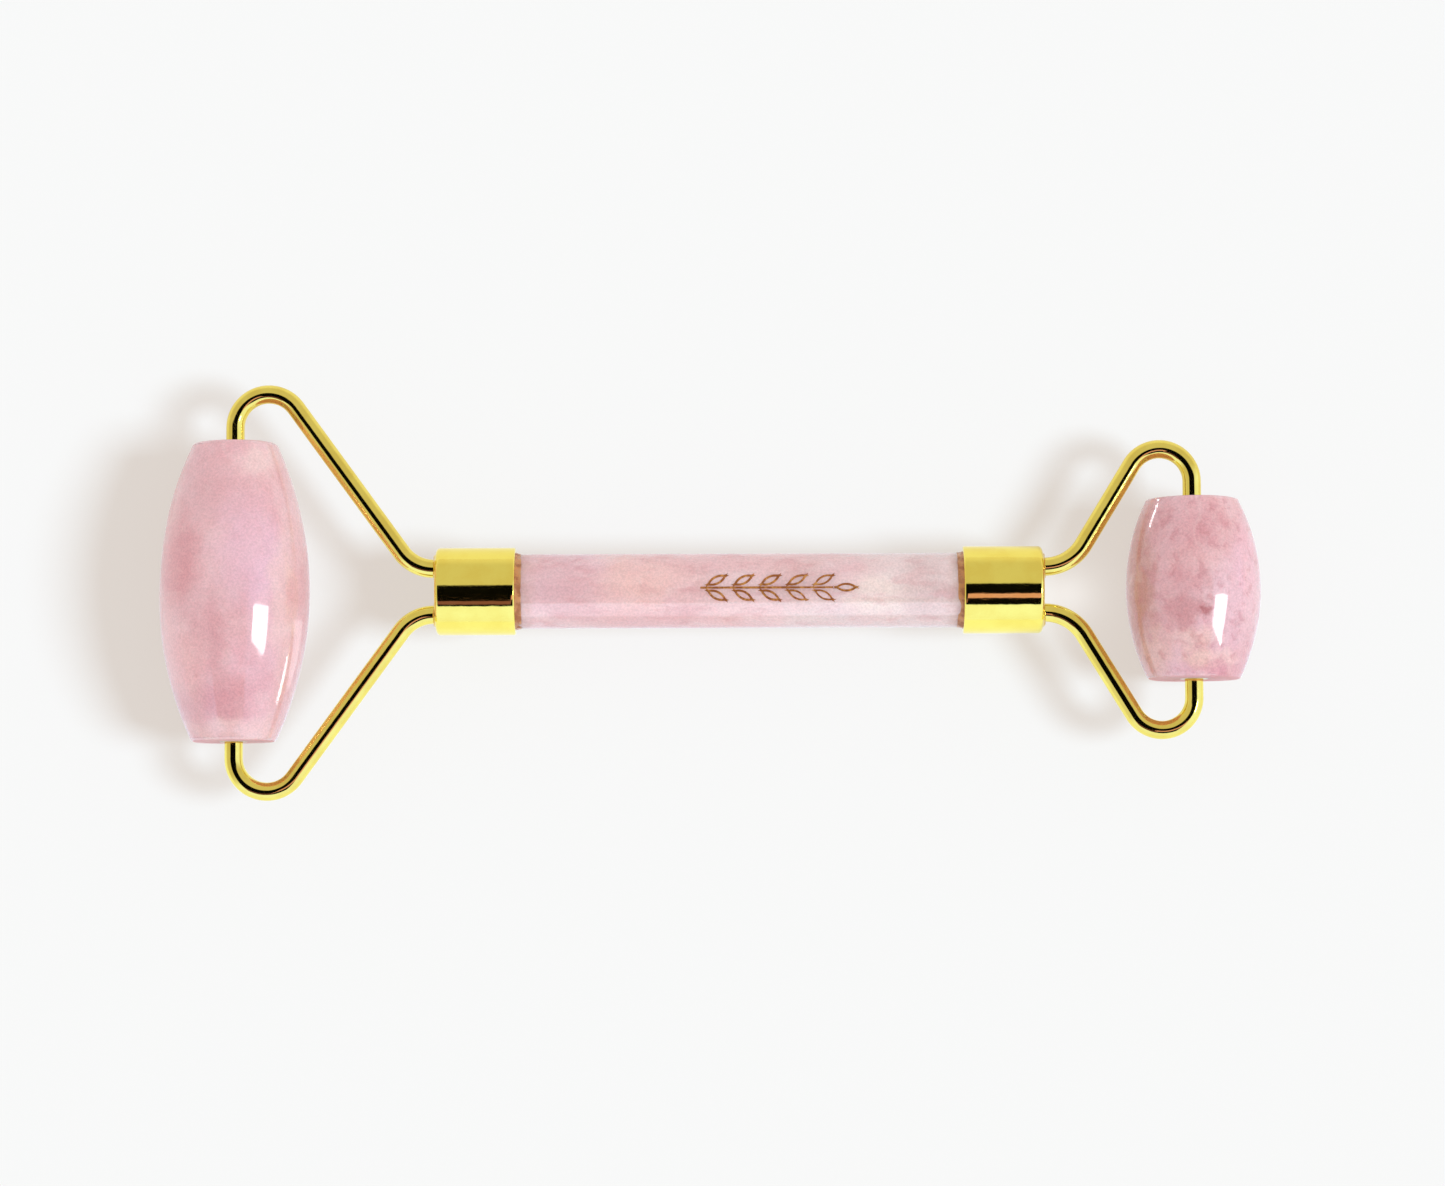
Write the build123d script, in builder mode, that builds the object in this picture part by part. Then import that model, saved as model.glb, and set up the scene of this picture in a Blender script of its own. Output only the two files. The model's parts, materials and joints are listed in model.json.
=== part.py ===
from build123d import *
import os
from dataclasses import dataclass
from math import atan2, degrees, sqrt

# A double-ended face roller: a round stone handle with a metal cup on each end, and in each cup a
# fork of two bent wires, on whose ends a barrel-shaped stone roller turns.
# The handle lies along +X, the rollers turn about Y and +Z is up. The origin is under the middle of
# the whole, on the surface that the larger roller rests on. Millimetres throughout.

# ---------------------------------------------------------------- driving dimensions

# handle
handle_diameter = 10.0
handle_exposed_length = 60.0  # between the two cups' mouths
handle_end_chamfer = 0.4

# cups on the handle's ends
ferrule_length = 10.7
ferrule_wall = 0.7
ferrule_end_wall = 0.9
ferrule_rounding = 0.6  # outer corner of the closed end
ferrule_lip_rounding = 0.25  # outer corner of the mouth
glue_gap = 0.2  # between the handle and a cup's bore, on the radius
pocket_depth = 2.8  # behind the handle's end, where the wires are potted

# wires
wire_diameter = 2.5
wire_end_chamfer = 0.3
wire_land = 0.85  # from a wire to the wall of the cup's bore
stub_gap = 0.4  # from a wire's stub to the handle's end
exit_straight = 0.35  # straight wire outside the cup, before its first bend
braze_width = 0.6  # of the bead around a wire, on the cup's end
braze_height = 0.35  # of the bead along the wire
braze_hollow = 0.1  # how far the bead's slope is hollowed

# liners in the rollers' ends
liner_length = 8.0
liner_wall = 0.6
liner_end_wall = 0.6
liner_mouth_chamfer = 0.15
running_clearance = 0.05  # between a wire and its liner, on the radius
end_play = 0.4  # between a wire's end and the bottom of its liner

# engraving on top of the handle, filled with metal: a sprig of outlined leaves
inlay_depth = 0.15
inlay_centre = 9.2  # along X
inlay_length = 21.0
inlay_stroke = 0.34  # width of its lines
leaf_length = 3.0
leaf_bulge = 0.62  # of each of a leaf's two edges
leaf_angle = 27.0  # between a leaf and the stem
leaf_gap = 0.16  # between a leaf and the stem
leaf_pairs = 5


@dataclass(frozen=True)
class RollerEnd:
    """One end of the face roller: a barrel-shaped stone and the fork that holds it."""

    name: str
    out: int  # the fork points to -X at -1 and to +X at +1
    length: float  # of the stone
    middle_diameter: float
    end_diameter: float
    edge_rounding: float
    reach: float  # from the cup's closed end to the roller's axis
    inner_bend: float  # radius of the wire's first bend, on its centre line
    outer_bend: float  # radius of the bend over the stone's end
    leg_gap: float  # straight wire between that bend and the stone


large = RollerEnd(
    name="large",
    out=-1,
    length=40.2,
    middle_diameter=20.1,
    end_diameter=11.2,
    edge_rounding=0.8,
    reach=27.15,
    inner_bend=5.4,
    outer_bend=4.5,
    leg_gap=2.2,
)
small = RollerEnd(
    name="small",
    out=1,
    length=24.2,
    middle_diameter=18.0,
    end_diameter=12.3,
    edge_rounding=0.8,
    reach=20.3,
    inner_bend=6.2,
    outer_bend=4.35,
    leg_gap=2.5,
)

# ---------------------------------------------------------------- sizes that follow

handle_radius = handle_diameter / 2
wire_radius = wire_diameter / 2
ferrule_bore_radius = handle_radius + glue_gap
ferrule_outer_radius = ferrule_bore_radius + ferrule_wall
ferrule_bore_depth = ferrule_length - ferrule_end_wall
handle_length = handle_exposed_length + 2 * (ferrule_bore_depth - pocket_depth)
wire_offset = ferrule_bore_radius - wire_land - wire_radius  # from the handle's axis
stub_length = ferrule_end_wall + pocket_depth - stub_gap

liner_bore_radius = wire_radius + running_clearance
liner_outer_radius = liner_bore_radius + liner_wall
liner_bore_depth = liner_length - liner_end_wall
pin_length = liner_bore_depth - end_play

# places along X, with the whole centred on the origin
large_side = ferrule_length + large.reach + large.middle_diameter / 2
small_side = ferrule_length + small.reach + small.middle_diameter / 2
overall_length = large_side + handle_exposed_length + small_side
mouth_x = {
    "large": large_side - overall_length / 2,
    "small": overall_length / 2 - small_side,
}
handle_middle = (mouth_x["large"] + mouth_x["small"]) / 2
axis_height = max(large.middle_diameter, small.middle_diameter) / 2

os.makedirs("parts", exist_ok=True)

# ---------------------------------------------------------------- handle and its engraving

stem_length = inlay_length - leaf_length - leaf_gap
stem_start = inlay_centre - inlay_length / 2
leaf_root = inlay_stroke / 2 + leaf_gap
leaf_pitch = stem_length / leaf_pairs

with BuildSketch() as leaf:
    with BuildLine():
        SagittaArc((0, 0), (leaf_length, 0), leaf_bulge)
        SagittaArc((leaf_length, 0), (0, 0), leaf_bulge)
    make_face()
    offset(amount=-inlay_stroke, kind=Kind.INTERSECTION, mode=Mode.SUBTRACT)

# pairs of leaves lean away from the stem, and one leaf lies in line with its tip
leaf_places = [Location((stem_start + stem_length + leaf_gap, 0))]
for pair in range(leaf_pairs):
    root_x = stem_start + pair * leaf_pitch + leaf_pitch / 4
    leaf_places.append(Location((root_x, leaf_root), leaf_angle))
    leaf_places.append(Location((root_x, -leaf_root), -leaf_angle))

with BuildPart() as inlay:
    with BuildSketch(Plane.XY.offset(axis_height)):
        with Locations((stem_start + stem_length / 2, 0)):
            SlotOverall(stem_length, inlay_stroke)
        with Locations(*leaf_places):
            add(leaf.sketch)
    extrude(amount=handle_diameter)
    with BuildSketch(Plane.YZ.offset(stem_start)):
        with Locations((0, axis_height)):
            Circle(handle_radius)
            Circle(handle_radius - inlay_depth, mode=Mode.SUBTRACT)
    extrude(amount=inlay_length, mode=Mode.INTERSECT)
inlay.part.label = "handle_inlay"
export_step(inlay.part, "parts/handle_inlay.step")

with BuildPart() as handle:
    with BuildSketch(Plane.YZ.offset(handle_middle)):
        with Locations((0, axis_height)):
            Circle(handle_radius)
    extrude(amount=handle_length / 2, both=True)
    chamfer(handle.edges().filter_by(GeomType.CIRCLE), length=handle_end_chamfer)
    add(inlay.part, mode=Mode.SUBTRACT)
handle.part.label = "handle_bar"
export_step(handle.part, "parts/handle_bar.step")

# ---------------------------------------------------------------- forks and rollers

for end in (large, small):
    ferrule_end_x = mouth_x[end.name] + end.out * ferrule_length
    roller_x = ferrule_end_x + end.out * end.reach
    mouth_plane = Plane((mouth_x[end.name], 0, axis_height), x_dir=(0, 1, 0), z_dir=(end.out, 0, 0))

    # the cup, with a hole in its closed end for each wire
    with BuildPart() as ferrule:
        with BuildSketch(mouth_plane):
            Circle(ferrule_outer_radius)
        extrude(amount=ferrule_length)
        from_mouth = Axis(mouth_plane.origin, mouth_plane.z_dir)
        rims = ferrule.edges().filter_by(GeomType.CIRCLE).sort_by(from_mouth)
        fillet(rims[0], radius=ferrule_lip_rounding)
        fillet(rims[-1], radius=ferrule_rounding)
        with BuildSketch(mouth_plane):
            Circle(ferrule_bore_radius)
        extrude(amount=ferrule_bore_depth, mode=Mode.SUBTRACT)
        with BuildSketch(mouth_plane.offset(ferrule_bore_depth)):
            with Locations((wire_offset, 0), (-wire_offset, 0)):
                Circle(wire_radius)
        extrude(amount=ferrule_end_wall, mode=Mode.SUBTRACT)
    ferrule.part.label = f"{end.name}_ferrule"
    export_step(ferrule.part, f"parts/{end.name}_ferrule.step")

    # The wire leaves the cup, bends outwards through turn, runs straight and bends back over the
    # stone's end, so that it enters the stone square to the handle.
    bends = end.inner_bend + end.outer_bend
    arch_half_width = end.length / 2 + end.leg_gap + end.outer_bend
    across = arch_half_width - wire_offset - bends
    forward = end.reach - exit_straight - end.outer_bend
    straight = sqrt(forward**2 + across**2 - bends**2)
    turn = degrees(atan2(across, forward) + atan2(bends, straight))

    arms = []
    for place, toward in (("front", -1), ("rear", 1)):
        wire_plane = Plane(
            (ferrule_end_x, 0, axis_height),
            x_dir=(end.out, 0, 0),
            z_dir=(0, 0, end.out * toward),
        )
        with BuildPart() as arm:
            with BuildLine(wire_plane) as path:
                exit_run = Line((-stub_length, wire_offset), (exit_straight, wire_offset))
                outward = JernArc(exit_run @ 1, exit_run % 1, end.inner_bend, turn)
                slope = Line(outward @ 1, outward @ 1 + (outward % 1) * straight)
                inward = JernArc(slope @ 1, slope % 1, end.outer_bend, -90 - turn)
                Line(inward @ 1, inward @ 1 + (inward % 1) * (end.leg_gap + pin_length))
            with BuildSketch(Plane(exit_run @ 0, z_dir=exit_run % 0)):
                Circle(wire_radius)
            sweep(path=path.line)
            chamfer(arm.faces().filter_by(GeomType.PLANE).edges(), length=wire_end_chamfer)
        arm.part.label = f"{end.name}_fork_arm_{place}"
        export_step(arm.part, f"parts/{end.name}_fork_arm_{place}.step")
        arms.append(arm.part)

        # a hollow-sloped bead of braze around the wire, on the cup's end
        bead_plane = Plane(
            (ferrule_end_x, toward * wire_offset, axis_height),
            x_dir=(0, 0, 1),
            z_dir=(0, end.out, 0),
        )
        with BuildPart() as braze:
            with BuildSketch(bead_plane):
                with BuildLine():
                    Line((wire_radius, braze_height), (wire_radius, 0))
                    Line((wire_radius, 0), (wire_radius + braze_width, 0))
                    SagittaArc(
                        (wire_radius + braze_width, 0),
                        (wire_radius, braze_height),
                        -braze_hollow,
                    )
                make_face()
            revolve(axis=Axis(bead_plane.origin, bead_plane.y_dir))
        braze.part.label = f"{end.name}_braze_{place}"
        export_step(braze.part, f"parts/{end.name}_braze_{place}.step")

    # cement between the handle and the cup, which also pots the wires' stubs
    with BuildPart() as epoxy:
        with BuildSketch(mouth_plane):
            Circle(ferrule_bore_radius)
        extrude(amount=ferrule_bore_depth)
        add(handle.part, mode=Mode.SUBTRACT)
        add(arms, mode=Mode.SUBTRACT)
    epoxy.part.label = f"{end.name}_ferrule_epoxy"
    export_step(epoxy.part, f"parts/{end.name}_ferrule_epoxy.step")

    # the stone: one arc from end to end, turned about the roller's axis
    roller_plane = Plane((roller_x, 0, axis_height))
    face_planes = {
        "front": Plane((roller_x, -end.length / 2, axis_height), z_dir=(0, -1, 0)),
        "rear": Plane((roller_x, end.length / 2, axis_height), z_dir=(0, 1, 0)),
    }
    with BuildPart() as stone:
        with BuildSketch(roller_plane):
            with BuildLine():
                front_rim = (end.end_diameter / 2, -end.length / 2)
                belly = (end.middle_diameter / 2, 0)
                rear_rim = (end.end_diameter / 2, end.length / 2)
                ThreePointArc(front_rim, belly, rear_rim)
                Polyline(rear_rim, (0, end.length / 2), (0, -end.length / 2), front_rim)
            make_face()
        revolve(axis=Axis(roller_plane.origin, roller_plane.y_dir))
        fillet(stone.faces().filter_by(GeomType.PLANE).edges(), radius=end.edge_rounding)
        with BuildSketch(*face_planes.values()):
            Circle(liner_outer_radius)
        extrude(amount=-liner_length, mode=Mode.SUBTRACT)
    stone.part.label = f"{end.name}_roller_stone"
    export_step(stone.part, f"parts/{end.name}_roller_stone.step")

    # the liners: closed cups, flush with the stone's ends
    for place, face_plane in face_planes.items():
        with BuildPart() as liner:
            with BuildSketch(face_plane):
                Circle(liner_outer_radius)
            extrude(amount=-liner_length)
            with BuildSketch(face_plane):
                Circle(liner_bore_radius)
            extrude(amount=-liner_bore_depth, mode=Mode.SUBTRACT)
            mouth = liner.faces().sort_by(Axis(face_plane.origin, face_plane.z_dir))[-1]
            chamfer(mouth.inner_wires()[0].edges(), length=liner_mouth_chamfer)
        liner.part.label = f"{end.name}_liner_{place}"
        export_step(liner.part, f"parts/{end.name}_liner_{place}.step")
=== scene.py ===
"""Looks of a double-ended rose quartz face roller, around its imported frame.

The handle lies along X, both rollers turn about Y, and Z is up. Sizes are in metres; the ones that the
frame doesn't give are written in millimetres times MM.
"""

import json
import logging
import math
from collections.abc import Callable
from dataclasses import dataclass, field
from enum import Enum

import bmesh
import bpy
from mathutils import Matrix, Vector, noise

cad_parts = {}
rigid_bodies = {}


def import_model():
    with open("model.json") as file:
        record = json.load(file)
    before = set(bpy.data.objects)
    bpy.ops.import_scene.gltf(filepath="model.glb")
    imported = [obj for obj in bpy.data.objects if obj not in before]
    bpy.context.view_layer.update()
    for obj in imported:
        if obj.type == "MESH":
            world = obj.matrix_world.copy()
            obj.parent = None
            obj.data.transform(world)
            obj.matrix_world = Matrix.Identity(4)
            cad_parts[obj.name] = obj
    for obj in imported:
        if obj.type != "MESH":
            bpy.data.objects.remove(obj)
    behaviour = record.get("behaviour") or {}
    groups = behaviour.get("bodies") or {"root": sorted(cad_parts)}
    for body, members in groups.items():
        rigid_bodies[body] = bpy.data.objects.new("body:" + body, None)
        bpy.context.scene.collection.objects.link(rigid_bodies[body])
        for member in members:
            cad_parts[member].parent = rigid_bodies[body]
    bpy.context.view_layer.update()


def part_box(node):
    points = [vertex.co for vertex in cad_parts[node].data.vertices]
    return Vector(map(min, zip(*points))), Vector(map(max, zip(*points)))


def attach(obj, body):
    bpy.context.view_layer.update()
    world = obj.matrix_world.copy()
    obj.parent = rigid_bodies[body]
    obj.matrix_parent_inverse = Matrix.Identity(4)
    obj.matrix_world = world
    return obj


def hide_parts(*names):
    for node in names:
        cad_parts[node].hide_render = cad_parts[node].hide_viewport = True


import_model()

MM = 0.001
ALONG = Vector((1.0, 0.0, 0.0))
ACROSS = Vector((0.0, 1.0, 0.0))
UP = Vector((0.0, 0.0, 1.0))

log = logging.getLogger("face_roller")

Colour = tuple[float, float, float]
Node = bpy.types.Node
Socket = bpy.types.NodeSocket
Tree = bpy.types.NodeTree
Value = float | Colour | Socket
Vert = bmesh.types.BMVert
Edge = bmesh.types.BMEdge


class End(Enum):
    """The two ends of the face roller, with the way that each one's fork points along X."""

    LARGE = ("large", -1)
    SMALL = ("small", 1)

    @property
    def label(self) -> str:
        """The word that the end's pieces start with."""
        return self.value[0]

    @property
    def out(self) -> int:
        """-1 where the fork points to -X, and 1 where it points to +X."""
        return self.value[1]


class Side(Enum):
    """The two sides of a fork, with their way along Y."""

    FRONT = ("front", -1)
    REAR = ("rear", 1)

    @property
    def label(self) -> str:
        """The word that the side's pieces end with."""
        return self.value[0]

    @property
    def way(self) -> int:
        """-1 towards -Y, and 1 towards +Y."""
        return self.value[1]


def srgb(red: int, green: int, blue: int) -> Colour:
    """Turns a display colour into the linear one that shaders use.

    Args:
        red: 0 to 255.
        green: 0 to 255.
        blue: 0 to 255.

    Returns:
        The linear colour.
    """
    def linear(value: int) -> float:
        """One channel, from its display value to its linear one."""
        share = value / 255
        return share / 12.92 if share <= 0.04045 else ((share + 0.055) / 1.055) ** 2.4

    return linear(red), linear(green), linear(blue)


def add_object(name: str, data: bpy.types.ID) -> bpy.types.Object:
    """Puts a new object with this data into the scene.

    Args:
        name: The object's name.
        data: Its mesh, light or camera.

    Returns:
        The object.
    """
    made = bpy.data.objects.new(name, data)
    bpy.context.scene.collection.objects.link(made)
    return made


class Box:
    """A node's box in the frame, read as a round part that lies level."""

    def __init__(self, node: str) -> None:
        """Reads the box of a node.

        Args:
            node: The node's name.
        """
        self.low, self.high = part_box(node)
        self.radius = (self.high.z - self.low.z) / 2
        self.height = (self.high.z + self.low.z) / 2

    def end_x(self, way: int) -> float:
        """Where the box ends towards -X (way -1) or X (way 1)."""
        return self.high.x if way > 0 else self.low.x


# ---------------------------------------------------------------- node wiring


class Wiring:
    """Adds and joins the nodes of one tree."""

    def __init__(self, tree: Tree) -> None:
        """Starts on a tree, which is emptied.

        Args:
            tree: The node tree to fill.
        """
        self.tree = tree
        tree.nodes.clear()

    def add(self, kind: str, inputs: dict[int | str, Value] | None = None, **settings) -> Node:
        """Adds a node.

        Args:
            kind: The node's type name, without the leading ShaderNode.
            inputs: Input name or number, to a constant or to the socket that feeds it.
            **settings: The node's own properties.

        Returns:
            The new node.
        """
        node = self.tree.nodes.new(kind if kind.startswith("NodeGroup") else "ShaderNode" + kind)
        for name, value in settings.items():
            setattr(node, name, value)
        self.fill(node, inputs or {})
        return node

    def fill(self, node: Node, inputs: dict[int | str, Value]) -> None:
        """Feeds some inputs of a node, each by its name or number."""
        for name, value in inputs.items():
            self.feed(node.inputs[name], value)

    def feed(self, socket: Socket, value: Value) -> None:
        """Joins a socket to another, or sets its constant.

        Args:
            socket: The input.
            value: An output socket, or a number, vector or colour.
        """
        if isinstance(value, Socket):
            self.tree.links.new(value, socket)
        elif socket.type == "RGBA" and len(value) == 3:
            socket.default_value = (*value, 1.0)
        else:
            socket.default_value = value

    def math(self, operation: str, first: Value, second: Value = 0.0) -> Socket:
        """One sum on two numbers or sockets, as a socket."""
        return self.add("Math", {0: first, 1: second}, operation=operation).outputs[0]

    def vector(self, operation: str, inputs: dict[int | str, Value]) -> Socket:
        """One sum on vectors, as a socket."""
        return self.add("VectorMath", inputs, operation=operation).outputs[0]

    def blend(self, share: Value, first: Value, second: Value) -> Socket:
        """Mixes two colours.

        Args:
            share: How much of the second.
            first: The colour at 0.
            second: The colour at 1.

        Returns:
            The mixed colour's socket.
        """
        node = self.add("Mix", {0: share, 6: first, 7: second}, data_type="RGBA", clamp_factor=True)
        return node.outputs[2]

    def tint(self, colour: Value, mask: Socket, share: float, tone: Value) -> Socket:
        """Turns a colour towards a tone, by a mask times a share."""
        return self.blend(self.math("MULTIPLY", mask, share), colour, tone)

    def ramp(self, value: Socket, low: Value, high: Value, start: float = 0.0, end: float = 1.0,
             smooth: bool = True) -> Socket:
        """Spreads a value's range low to high over start to end.

        Args:
            value: The socket to spread.
            low: The value that gives start.
            high: The value that gives end.
            start: The result at low and below.
            end: The result at high and above.
            smooth: Whether both ends are eased.

        Returns:
            The result's socket.
        """
        inputs = {"Value": value, 1: low, 2: high, 3: start, 4: end}
        kind = "SMOOTHSTEP" if smooth else "LINEAR"
        return self.add("MapRange", inputs, interpolation_type=kind).outputs[0]

    def noise(self, place: Socket, scale: Value, detail: float = 2.0, roughness: float = 0.5,
              distortion: float = 0.0, output: str = "Fac") -> Socket:
        """Adds a noise.

        Args:
            place: Where it is read.
            scale: How fine it is.
            detail: How many finer layers it has.
            roughness: How strong those are.
            distortion: How far it bends itself.
            output: Fac for a value, or Color for a vector.

        Returns:
            The noise's socket.
        """
        inputs = {"Vector": place, "Scale": scale, "Detail": detail, "Roughness": roughness,
                  "Distortion": distortion}
        return self.add("TexNoise", inputs).outputs[output]

    def warp(self, place: Socket, push: Socket, reach: Value) -> Socket:
        """Moves a place by a noise.

        Args:
            place: The place.
            push: The noise's colour.
            reach: The width of the moves.

        Returns:
            The moved place's socket.
        """
        centred = self.vector("SUBTRACT", {0: push, 1: (0.5, 0.5, 0.5)})
        moved = self.vector("SCALE", {0: centred, "Scale": reach})
        return self.vector("ADD", {0: place, 1: moved})

    def bump(self, shader: Node, strength: float, distance: float, height: Socket) -> None:
        """Feeds a shader's normal from a height.

        Args:
            shader: The shader.
            strength: How much of the height shows.
            distance: What a height of 1 stands for, in metres.
            height: The height's socket.
        """
        bump = self.add("Bump", {"Strength": strength, "Distance": distance, "Height": height})
        self.feed(shader.inputs["Normal"], bump.outputs[0])

    def group(self, tree: Tree, place: Socket, **values: float) -> Socket:
        """Places a shared effect in this tree, with its own values, as a socket."""
        return self.add("Group", {"Place": place, **values}, node_tree=tree).outputs[0]


class SharedEffects:
    """Node groups that more than one finish uses, each built once."""

    def __init__(self) -> None:
        """Builds every group."""
        self.clouds = self._clouds()
        self.veils = self._veils()
        self.scratches = self._scratches()
        self.hand_wave = self._hand_wave()

    @staticmethod
    def _start(name: str, output: str, **numbers: float) -> tuple[Wiring, Node, Node]:
        """Opens a group.

        Args:
            name: The group's name.
            output: The name of the value that it puts out.
            **numbers: Its inputs beside Place, with their defaults.

        Returns:
            The group's wiring, the input node and the output node.
        """
        tree = bpy.data.node_groups.new(name, "ShaderNodeTree")
        tree.interface.new_socket(name="Place", in_out="INPUT", socket_type="NodeSocketVector")
        for label, default in numbers.items():
            socket = tree.interface.new_socket(name=label, in_out="INPUT", socket_type="NodeSocketFloat")
            socket.default_value = default
        tree.interface.new_socket(name=output, in_out="OUTPUT", socket_type="NodeSocketFloat")
        wiring = Wiring(tree)
        return wiring, wiring.add("NodeGroupInput"), wiring.add("NodeGroupOutput")

    def _clouds(self) -> Tree:
        """Soft patches of mineral, from a warped noise.

        Returns:
            The group: Place, Scale, Warp, Low and High in, Mask out.
        """
        wiring, given, result = self._start("mineral_clouds", "Mask", Scale=0.1, Warp=1.0, Low=0.4, High=0.6)
        place, scale, warp, low, high = given.outputs[:5]
        push = wiring.noise(place, scale, output="Color")
        warped = wiring.warp(place, push, wiring.math("DIVIDE", warp, scale))
        body = wiring.noise(warped, scale, 7.0, 0.58)
        wiring.feed(result.inputs[0], wiring.ramp(body, low, high))
        return wiring.tree

    def _veils(self) -> Tree:
        """Thin wispy sheets inside a stone, where a noise crosses its middle value.

        Returns:
            The group: Place, Scale and Thickness in, Mask out.
        """
        wiring, given, result = self._start("mineral_veils", "Mask", Scale=0.1, Thickness=0.04)
        place, scale, thickness = given.outputs[:3]
        sheet = wiring.noise(place, scale, 5.0, 0.55, 0.9)
        away = wiring.math("ABSOLUTE", wiring.math("SUBTRACT", sheet, 0.5))
        edge = wiring.ramp(wiring.math("DIVIDE", away, thickness), 0.0, 1.0, 1.0, 0.0)
        patch = wiring.noise(place, wiring.math("MULTIPLY", scale, 2.3), 3.0, 0.6)
        wiring.feed(result.inputs[0], wiring.math("MULTIPLY", edge, wiring.ramp(patch, 0.42, 0.62)))
        return wiring.tree

    def _scratches(self) -> Tree:
        """Hairline polishing marks along the local X of the given place.

        Returns:
            The group: Place and Density in, Mask out.
        """
        wiring, given, result = self._start("hairline_scratches", "Mask", Density=4.0)
        stretch = wiring.add("Mapping", {"Vector": given.outputs["Place"], "Scale": (0.06, 1.0, 1.0)})
        line = wiring.noise(stretch.outputs[0], given.outputs["Density"], 4.0, 0.7)
        wiring.feed(result.inputs[0], wiring.ramp(line, 0.52, 0.7))
        return wiring.tree

    def _hand_wave(self) -> Tree:
        """The low unevenness that hand grinding and plating leave on a polished surface.

        Returns:
            The group: Place and Scale in, Height out.
        """
        wiring, given, result = self._start("hand_wave", "Height", Scale=0.3)
        place, scale = given.outputs[:2]
        broad = wiring.noise(place, scale, 1.5, 0.4)
        fine = wiring.noise(place, wiring.math("MULTIPLY", scale, 6.0))
        wiring.feed(result.inputs[0], wiring.math("ADD", broad, wiring.math("MULTIPLY", fine, 0.12)))
        return wiring.tree


# ---------------------------------------------------------------- finishes


@dataclass(frozen=True)
class Finish:
    """A finish of the object and how its material is made; its slot, a name from the record, is not used."""

    name: str
    slot: str
    effects: SharedEffects = field(repr=False)

    def material(self) -> bpy.types.Material:
        """Makes the material, or finds the one made before.

        Returns:
            The material.
        """
        made = bpy.data.materials.get(self.name)
        if made is None:
            made = bpy.data.materials.new(self.name)
            made.use_nodes = True
            wiring = Wiring(made.node_tree)
            shader = wiring.add("BsdfPrincipled")
            wiring.add("OutputMaterial", {"Surface": shader.outputs[0]})
            self.dress(wiring, shader)
        return made

    def dress(self, wiring: Wiring, shader: Node) -> None:
        """Sets and feeds the shader. Each finish has its own.

        Args:
            wiring: The material's wiring.
            shader: Its Principled BSDF.
        """
        raise NotImplementedError

    @staticmethod
    def place(wiring: Wiring, offset: Colour = (0.0, 0.0, 0.0), turn: Colour = (0.0, 0.0, 0.0),
              stretch: Colour = (1.0, 1.0, 1.0)) -> Socket:
        """Object coordinates in millimetres, moved, turned and stretched.

        Args:
            wiring: The material's wiring.
            offset: Where the pattern is taken from, in millimetres.
            turn: Turns about X, Y and Z, in degrees.
            stretch: Scale along each axis; below 1 draws the pattern out.

        Returns:
            The coordinates' socket.
        """
        coordinates = wiring.add("TexCoord").outputs["Object"]
        mapping = wiring.add("Mapping", {
            "Vector": wiring.vector("SCALE", {0: coordinates, "Scale": 1 / MM}),
            "Location": offset,
            "Rotation": tuple(math.radians(angle) for angle in turn),
            "Scale": stretch,
        })
        return mapping.outputs[0]

    @staticmethod
    def mottle(wiring: Wiring, shader: Node, mask: Socket, tones: tuple[Colour, Colour],
               rough: tuple[float, float]) -> None:
        """Feeds a shader's colour and roughness from one mask.

        Args:
            wiring: The material's wiring.
            shader: Its Principled BSDF.
            mask: The mask.
            tones: The colours at 0 and 1.
            rough: The roughness at 0 and 1.
        """
        wiring.feed(shader.inputs["Base Color"], wiring.blend(mask, *tones))
        wiring.feed(shader.inputs["Roughness"], wiring.ramp(mask, 0.0, 1.0, *rough))


@dataclass(frozen=True)
class Zone:
    """A soft-edged patch of another tone on a stone, in millimetres from its roller's middle. Most are the
    stone's own colour; a few are painted light and painted shade on the rollers' sides.
    """

    middle: Colour
    size: Colour
    tone: Colour
    share: float


ZONE_WARP = 5.0


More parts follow.
